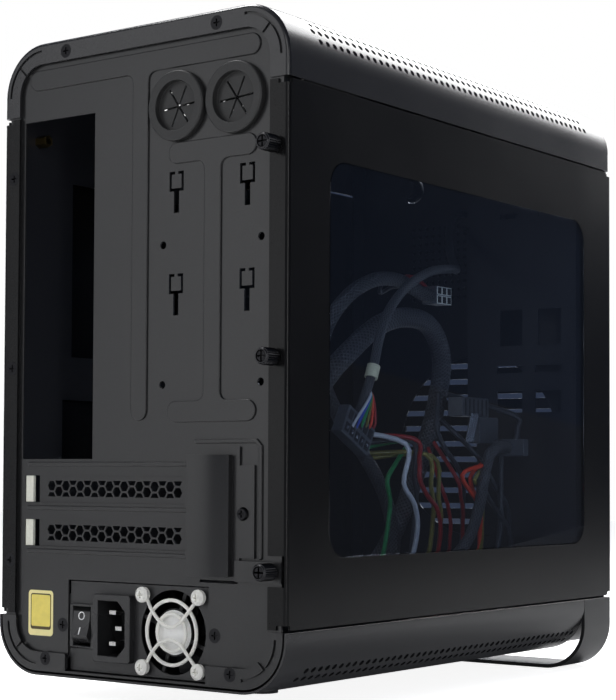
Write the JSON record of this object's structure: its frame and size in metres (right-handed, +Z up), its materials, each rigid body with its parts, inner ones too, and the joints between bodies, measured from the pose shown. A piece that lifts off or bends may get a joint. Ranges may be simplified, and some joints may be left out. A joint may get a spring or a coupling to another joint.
{
  "type": "mini-itx computer case",
  "caption": "Compact upright steel computer case with rounded edges, a windowed side, a slim built-in power supply and a bent strip foot.",
  "frame": {"origin": "middle of the whole object's footprint, on the surface it stands on", "axes": "+Z up, -Y towards the front, +Y towards the connector side, -X towards the windowed side"},
  "size_m": [0.169, 0.307, 0.306],
  "materials": {
    "black_steel": "fine textured powder coat, satin",
    "smoked_acrylic": "clear glossy acrylic, lightly smoked",
    "black_rubber": "matt soft rubber",
    "brass_post": "turned",
    "black_plastic": "moulded, satin",
    "nickel": "bright plated",
    "black_screw": "black plated steel, satin",
    "pale_plastic": "plain",
    "button_metal": "brushed",
    "grey_sleeve": "braided mesh",
    "grey_plastic": "moulded"
  },
  "bodies": {
    "root": {"rear_panel": "black_steel", "top_cover": "black_steel", "bottom_cover": "black_steel", "bottom_pan": "black_steel", "front_frame": "black_steel", "front_bezel": "black_steel", "front_foot": "black_steel", "rear_pads": "black_rubber", "motherboard_tray": "black_steel", "board_standoffs": "brass_post", "drive_cage": "black_steel", "psu_housing": "black_steel", "power_inlet": "black_plastic", "inlet_blades": "nickel", "switch_frame": "black_plastic", "psu_fan_frame": "black_plastic", "fan_guard": "nickel", "fan_guard_screws": "nickel", "psu_screws": "black_screw", "cable_grommets": "black_rubber", "slot_cover_upper": "black_steel", "slot_cover_lower": "black_steel", "slot_end_pads": "pale_plastic", "slot_clamp": "black_steel", "slot_clamp_screw": "black_screw", "cover_screws": "black_screw", "front_port_block": "black_plastic", "main_power_cable": "grey_sleeve", "main_power_connector": "black_plastic", "board_power_cable": "grey_sleeve", "board_power_connector": "black_plastic", "drive_power_cable": "grey_sleeve", "drive_power_connector": "black_plastic", "front_usb_cable": "grey_sleeve", "front_usb_connector": "grey_plastic"},
    "window_panel": {"window_side_panel": "black_steel", "side_window": "smoked_acrylic"},
    "solid_panel": {"solid_side_panel": "black_steel", "side_panel_screws": "black_screw"},
    "upper_thumbscrew": {"thumbscrew_upper": "black_screw", "thumbscrew_core_upper": "black_screw"},
    "middle_thumbscrew": {"thumbscrew_middle": "black_screw", "thumbscrew_core_middle": "black_screw"},
    "lower_thumbscrew": {"thumbscrew_lower": "black_screw", "thumbscrew_core_lower": "black_screw"},
    "fan_rotor": {"psu_fan_rotor": "black_plastic"},
    "rocker": {"switch_rocker": "black_plastic"},
    "button": {"power_button": "button_metal"}
  },
  "joints": [
    {"name": "window_panel_slide", "type": "slide", "parent": "root", "child": "window_panel", "axis": [0, 1, 0], "range_m": [0, 0.012]},
    {"name": "solid_panel_slide", "type": "slide", "parent": "root", "child": "solid_panel", "axis": [0, 1, 0], "range_m": [0, 0.012]},
    {"name": "upper_thumbscrew_turn", "type": "hinge", "parent": "window_panel", "child": "upper_thumbscrew", "pos_m": [-0.078, 0.1425, 0.2435], "axis": [0, 1, 0], "continuous": true},
    {"name": "middle_thumbscrew_turn", "type": "hinge", "parent": "window_panel", "child": "middle_thumbscrew", "pos_m": [-0.078, 0.1425, 0.1535], "axis": [0, 1, 0], "continuous": true},
    {"name": "lower_thumbscrew_turn", "type": "hinge", "parent": "root", "child": "lower_thumbscrew", "pos_m": [-0.078, 0.1435, 0.0635], "axis": [0, 1, 0], "continuous": true},
    {"name": "fan_spin", "type": "hinge", "parent": "root", "child": "fan_rotor", "pos_m": [-0.02025, 0.1295, 0.03475], "axis": [0, 1, 0], "continuous": true},
    {"name": "rocker_tilt", "type": "hinge", "parent": "root", "child": "rocker", "pos_m": [0.0333, 0.1355, 0.03475], "axis": [1, 0, 0], "range_deg": [-24, 0]},
    {"name": "button_press", "type": "slide", "parent": "root", "child": "button", "axis": [0, 1, 0], "range_m": [0, 0.002], "stiffness_N_per_m": 300}
  ]
}
